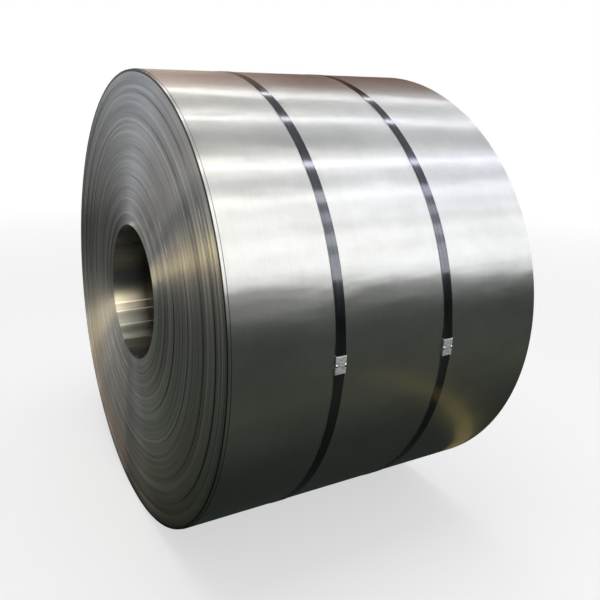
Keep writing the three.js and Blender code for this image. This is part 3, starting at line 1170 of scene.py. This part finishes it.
# The mat under the coil: share of the way from the coil to the walls, and colour.
MAT_STOPS = (
    (0.0, (0.021, 0.025, 0.022)), (0.05, (0.025, 0.030, 0.026)),
    (0.1, (0.036, 0.041, 0.034)), (0.15, (0.054, 0.059, 0.048)),
    (0.2, (0.065, 0.069, 0.056)), (0.4, (0.058, 0.064, 0.054)),
    (1.0, (0.036, 0.043, 0.038)),
)

# The mat in front of the near end, from front to back.
MAT_LEFT_STOPS = (
    (0.0, (0.027, 0.034, 0.026)), (0.19, (0.035, 0.041, 0.033)),
    (0.222, (0.062, 0.070, 0.055)), (0.239, (0.098, 0.105, 0.086)),
    (0.272, (0.135, 0.142, 0.12)), (0.37, (0.142, 0.148, 0.132)),
    (0.47, (0.185, 0.19, 0.176)), (0.58, (0.19, 0.195, 0.19)),
    (0.74, (0.105, 0.110, 0.112)), (0.95, (0.07, 0.074, 0.078)),
)
MAT_REACH = 30.0
LINE_COLOUR = (0.182, 0.153, 0.067)


def mat_colour(tree):
    x, y, _ = object_place(tree)
    reach = (y.unsigned() - 0.6).most(0.0)
    colour = ramp(spread(reach, 0.0, 4.0), MAT_STOPS)
    left = spread(x, -0.68, -0.575, 1.0, 0.0)
    left_colour = ramp(spread(y, -2.0, 7.0), MAT_LEFT_STOPS)
    return blend(left, colour, left_colour)


def lying(left, right, front, back, height):
    """The corners of a card that lies over the floor."""
    places = ((left, front), (right, front), (right, back), (left, back))
    return [(x, y, height) for x, y in places]


def make_mat():
    """A dark mat round the coil, with a yellow floor line over it."""
    corners = lying(-MAT_REACH, MAT_REACH, -MAT_REACH, MAT_REACH, 2 * MM)
    make_card("mat", corners, glowing("mat_glow", mat_colour))
    yellow = glowing("floor_line_glow", plain, LINE_COLOUR)
    make_card("floor_line", lying(0.75, 0.85, -1.7, -0.2, 4 * MM), yellow)


def make_softbox():
    """The one lamp on the object, overhead and a little to the front."""
    lamp = bpy.data.lights.new("top_softbox", "AREA")
    lamp.shape = "RECTANGLE"
    lamp.size, lamp.size_y = 4.0, 3.0
    lamp.energy = 120.0
    made = link_object("top_softbox", lamp)
    place, aim = Vector((0.0, -0.5, 5.0)), Vector((0.0, 0.0, 0.8))
    made.location = place
    made.rotation_euler = (aim - place).to_track_quat("-Z", "Y").to_euler()
    made.visible_camera = False
    made.visible_glossy = False


CAMERA_PLACE = (-1.240, -2.159, 1.480)
CAMERA_DOWN, CAMERA_TURN = 7.92, -24.54


def make_camera():
    camera = bpy.data.cameras.new("camera")
    camera.lens, camera.sensor_width = 36.234, 36.0
    camera.shift_x, camera.shift_y = 0.157, -0.160
    camera.clip_start, camera.clip_end = 0.05, 200.0
    made = link_object("camera", camera)
    made.location = CAMERA_PLACE
    made.rotation_euler = (math.radians(90 - CAMERA_DOWN), 0.0, math.radians(CAMERA_TURN))
    bpy.context.scene.camera = made


class STEELCOIL_OT_stage(bpy.types.Operator):
    """Set the floor, the light and the camera"""

    bl_idname = "steelcoil.stage"
    bl_label = "Studio"

    def execute(self, context):
        settings = context.scene.studio_settings
        context.scene.view_settings.view_transform = "Standard"
        make_world(settings)
        make_floor(settings)
        make_walls()
        make_strip_lights()
        make_warm_lights()
        make_bore_glow()
        make_thin_lamps()
        back = glowing("back_light_glow", back_colour)
        make_card("back_light", BACK_LOWER + BACK_UPPER, back)
        make_mat()
        make_softbox()
        make_camera()
        return {"FINISHED"}


# ---- Panel and registration ----


STEPS = (STEELCOIL_OT_coil, STEELCOIL_OT_straps, STEELCOIL_OT_seals, STEELCOIL_OT_stage)
GROUPS = {
    "coil_sizes": CoilSizes,
    "strap_sizes": StrapSizes,
    "coil_look": CoilLook,
    "studio_settings": StudioSettings,
}


class STEELCOIL_PT_sidebar(bpy.types.Panel):
    """Lists the steps and their settings."""

    bl_idname = "STEELCOIL_PT_sidebar"
    bl_label = "Steel Coil"
    bl_space_type = "VIEW_3D"
    bl_region_type = "UI"
    bl_category = "Steel Coil"

    def draw(self, context):
        column = self.layout.column()
        for step in STEPS:
            column.operator(step.bl_idname)
        for name, group in GROUPS.items():
            box = self.layout.box()
            for key in group.__annotations__:
                box.prop(getattr(context.scene, name), key)


def register():
    for group in GROUPS.values():
        bpy.utils.register_class(group)
    for key, group in GROUPS.items():
        setattr(bpy.types.Scene, key, bpy.props.PointerProperty(type=group))
    for made in (*STEPS, STEELCOIL_PT_sidebar):
        bpy.utils.register_class(made)


def unregister():
    for made in reversed((*STEPS, STEELCOIL_PT_sidebar)):
        bpy.utils.unregister_class(made)
    for key in GROUPS:
        delattr(bpy.types.Scene, key)
    for group in reversed(GROUPS.values()):
        bpy.utils.unregister_class(group)


def main():
    register()
    bpy.ops.steelcoil.coil()
    bpy.ops.steelcoil.straps()
    bpy.ops.steelcoil.seals()
    bpy.ops.steelcoil.stage()


if __name__ == "__main__":
    main()
